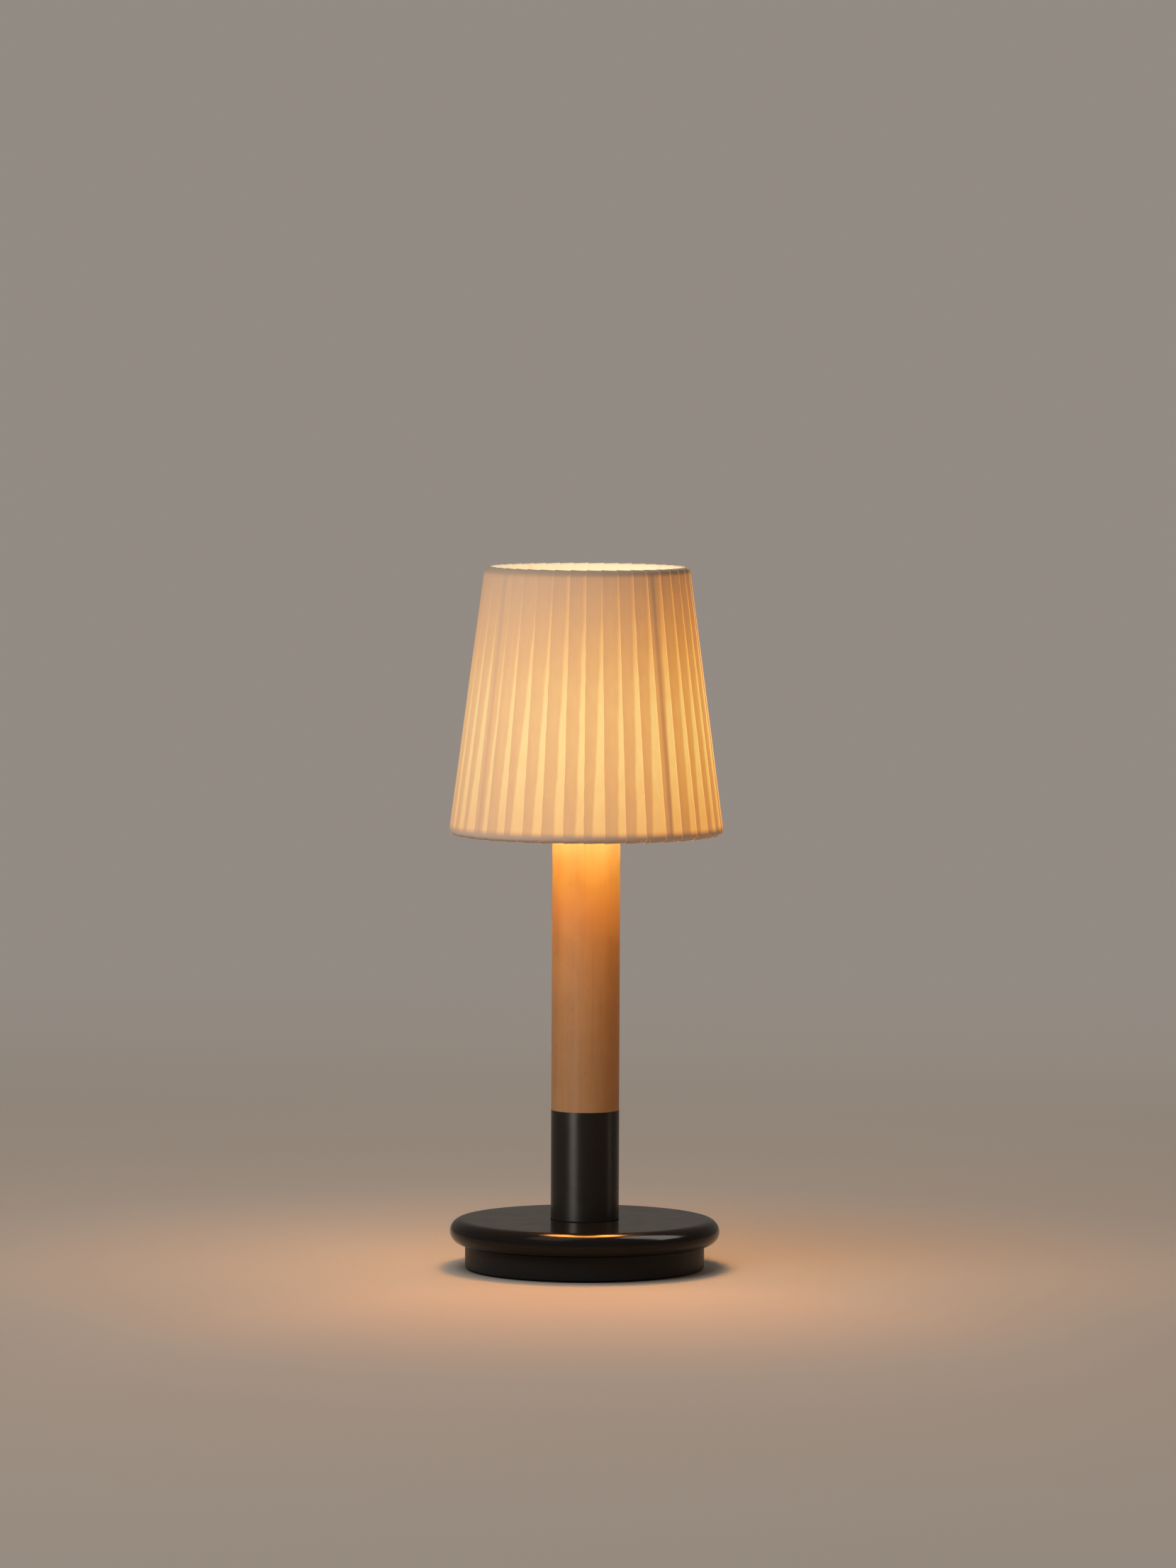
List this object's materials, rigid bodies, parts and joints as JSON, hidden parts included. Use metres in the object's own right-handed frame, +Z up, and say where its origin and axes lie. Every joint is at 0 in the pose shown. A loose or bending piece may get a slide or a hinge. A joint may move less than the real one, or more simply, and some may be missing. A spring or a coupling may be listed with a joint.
{
  "type": "portable table lamp",
  "caption": "Cordless table lamp: tapered ribbon shade that lifts off and turns on a round wooden stem, with a metal tube and a round weighted base holding battery and controls.",
  "frame": {"origin": "centre of the base on the table, which is the bottom centre of the bounding box", "axes": "+Z up along the stem, front faces -Y, charging socket and power button face +Y"},
  "size_m": [0.1552, 0.1552, 0.4],
  "materials": {
    "black_metal": "satin black lacquer on a turned casting",
    "black_tube": "satin black lacquer on drawn tube",
    "steel": "zinc plated",
    "black_cover": "fine moulded grain",
    "rubber": "matte",
    "tray_plastic": "moulded",
    "cell_wrap": "shrink sleeve",
    "nickel": "plain nickel strip",
    "wire_sleeve": "extruded",
    "board": "solder mask",
    "switch_plastic": "moulded",
    "button": "fine satin",
    "clear_plastic": "frosted",
    "wood": "clear matte oil on turned beech",
    "aluminium": "turned",
    "light_board": "white solder mask",
    "light_chip": "phosphor",
    "opal": "opal, satin",
    "nylon": "natural",
    "frame_wire": "cream powder coat",
    "ribbon": "cotton ribbon, translucent"
  },
  "bodies": {
    "lamp": {"base_disc": "black_metal", "plinth": "black_tube", "plinth_screws": "steel", "bottom_cover": "black_cover", "cover_screws": "steel", "foot_ring": "rubber", "battery_tray": "tray_plastic", "tray_screws": "steel", "battery_cells": "cell_wrap", "cell_contacts": "nickel", "cell_guard": "board", "cell_leads": "wire_sleeve", "control_board": "board", "board_screws": "steel", "usb_socket": "nickel", "switch_body": "switch_plastic", "charge_lens": "clear_plastic", "clamp_rod": "steel", "rod_nut": "steel", "rod_washer": "steel", "stem_tube": "black_tube", "wood_stem": "wood", "lamp_head": "aluminium", "led_board": "light_board", "leds": "light_chip", "led_screws": "steel", "diffuser": "opal", "lead_wires": "wire_sleeve"},
    "button": {"power_button": "button"},
    "washer": {"seat_washer": "nylon"},
    "shade": {"fitter_collar": "frame_wire", "fitter_arms": "frame_wire", "frame_struts": "frame_wire", "top_ring": "frame_wire", "bottom_ring": "frame_wire", "ribbons": "ribbon"}
  },
  "joints": [
    {"name": "button_press", "type": "slide", "parent": "lamp", "child": "button", "axis": [0, -1, 0], "range_m": [0, 0.0008], "stiffness_N_per_m": 1500, "springref_m": -0.0008},
    {"name": "shade_turn", "type": "hinge", "parent": "lamp", "child": "washer", "pos_m": [0, 0, 0.257], "axis": [0, 0, 1], "continuous": true},
    {"name": "shade_lift", "type": "slide", "parent": "washer", "child": "shade", "axis": [0, 0, 1], "range_m": [0, 0.07]}
  ]
}
